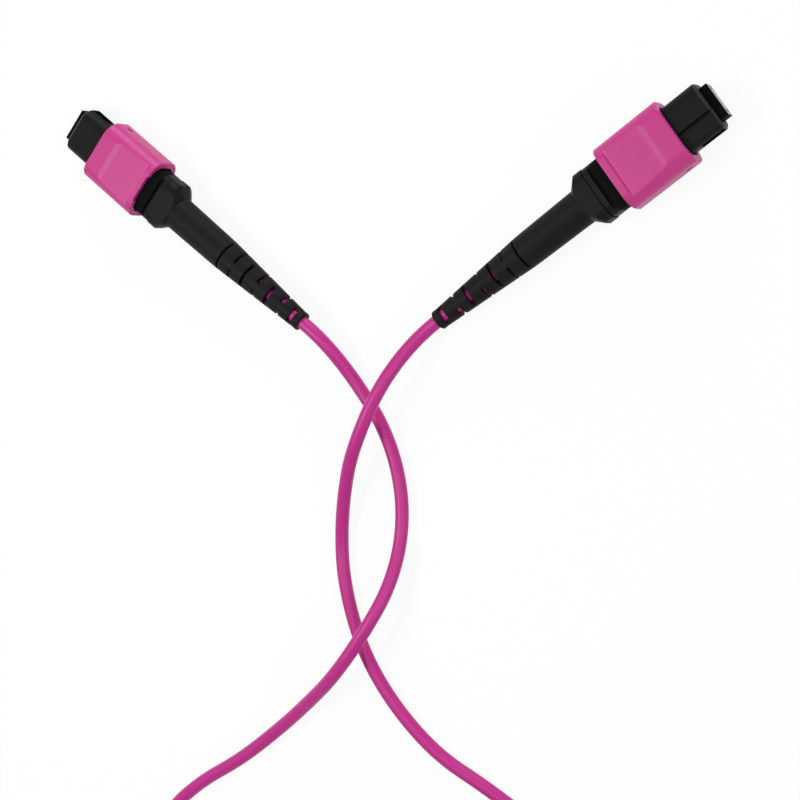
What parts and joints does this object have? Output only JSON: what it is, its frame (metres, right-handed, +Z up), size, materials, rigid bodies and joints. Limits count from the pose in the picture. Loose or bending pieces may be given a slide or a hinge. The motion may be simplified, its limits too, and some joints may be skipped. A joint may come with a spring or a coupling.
{
  "type": "mpo patch cable",
  "caption": "Loose fibre patch cable with a push-on ribbon-fibre connector at each end: sprung ferrule, sliding grip sleeve, latch housing and segmented boot.",
  "frame": {"origin": "on the table, under the middle of the front band of the grip sleeve of end a", "axes": "+X along the axis of connector a towards its ferrule, +Z up from the table"},
  "size_m": [0.181, 0.182, 0.0082],
  "materials": {
    "sleeve_plastic": "moulded satin magenta",
    "housing_plastic": "moulded satin black",
    "boot_rubber": "moulded matte black",
    "ferrule_plastic": "glass-filled black, polished end face",
    "soft_rubber": "soft matte",
    "clamp_steel": "stamped",
    "spring_steel": "drawn wire",
    "crimp_metal": "plated",
    "coated_fibre": "clear coating",
    "cable_jacket": "extruded satin magenta",
    "tie_fabric": "woven hook-and-loop"
  },
  "bodies": {
    "patch_cable": {"ferrule_spring_a": "spring_steel", "fibre_ribbon_a": "coated_fibre", "inner_housing_a": "housing_plastic", "coupling_spring_left_a": "spring_steel", "coupling_spring_right_a": "spring_steel", "back_body_a": "housing_plastic", "crimp_ring_a": "crimp_metal", "strain_relief_boot_a": "boot_rubber", "ferrule_spring_b": "spring_steel", "fibre_ribbon_b": "coated_fibre", "inner_housing_b": "housing_plastic", "coupling_spring_left_b": "spring_steel", "coupling_spring_right_b": "spring_steel", "back_body_b": "housing_plastic", "crimp_ring_b": "crimp_metal", "strain_relief_boot_b": "boot_rubber", "cable_run_a": "cable_jacket", "cable_run_b": "cable_jacket", "cable_coil": "cable_jacket", "coil_tie": "tie_fabric"},
    "sleeve_a_slider": {"coupling_sleeve_a": "sleeve_plastic"},
    "ferrule_a_float": {"ferrule_a": "ferrule_plastic", "ferrule_boot_a": "soft_rubber", "pin_clamp_a": "clamp_steel"},
    "sleeve_b_slider": {"coupling_sleeve_b": "sleeve_plastic"},
    "ferrule_b_float": {"ferrule_b": "ferrule_plastic", "ferrule_boot_b": "soft_rubber", "pin_clamp_b": "clamp_steel"}
  },
  "joints": [
    {"name": "coupling_slide_a", "type": "slide", "parent": "patch_cable", "child": "sleeve_a_slider", "axis": [1, 0, 0], "range_m": [-0.0025, 0], "stiffness_N_per_m": 700, "springref_m": 0.0012, "deforming": ["coupling_spring_left_a", "coupling_spring_right_a"]},
    {"name": "ferrule_float_a", "type": "slide", "parent": "patch_cable", "child": "ferrule_a_float", "axis": [1, 0, 0], "range_m": [-0.0012, 0], "stiffness_N_per_m": 3000, "springref_m": 0.002, "deforming": ["ferrule_spring_a", "fibre_ribbon_a"]},
    {"name": "coupling_slide_b", "type": "slide", "parent": "patch_cable", "child": "sleeve_b_slider", "axis": [-0.279, 0.9603, 0], "range_m": [-0.0025, 0], "stiffness_N_per_m": 700, "springref_m": 0.0012, "deforming": ["coupling_spring_left_b", "coupling_spring_right_b"]},
    {"name": "ferrule_float_b", "type": "slide", "parent": "patch_cable", "child": "ferrule_b_float", "axis": [-0.279, 0.9603, 0], "range_m": [-0.0012, 0], "stiffness_N_per_m": 3000, "springref_m": 0.002, "deforming": ["ferrule_spring_b", "fibre_ribbon_b"]}
  ]
}
